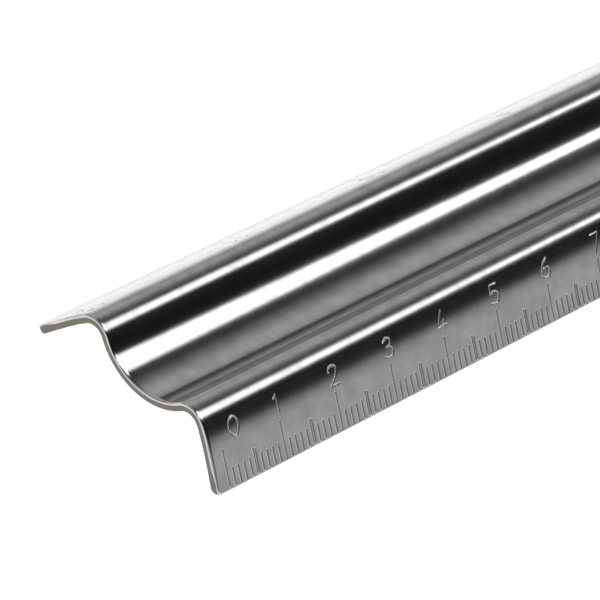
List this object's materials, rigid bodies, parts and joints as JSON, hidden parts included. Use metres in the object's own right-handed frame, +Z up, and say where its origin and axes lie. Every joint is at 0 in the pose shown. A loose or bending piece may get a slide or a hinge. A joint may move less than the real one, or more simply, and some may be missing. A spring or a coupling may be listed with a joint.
{
  "type": "safety ruler",
  "caption": "Steel safety ruler: one formed strip with a finger groove between two crests, and sloping flanges that carry a metric and an inch scale.",
  "frame": {"origin": "middle of the surface that the ruler stands on, under the middle of its length and width", "axes": "+X along the ruler, from the metric scale's zero towards its higher numbers; +Y across it, from the metric flange to the inch flange; +Z up"},
  "size_m": [0.31, 0.032, 0.0082],
  "materials": {
    "stainless_steel": "polished stainless steel with fine lengthwise drawing lines, and etched scales"
  },
  "bodies": {
    "root": {"ruler_sheet": "stainless_steel"}
  },
  "joints": []
}
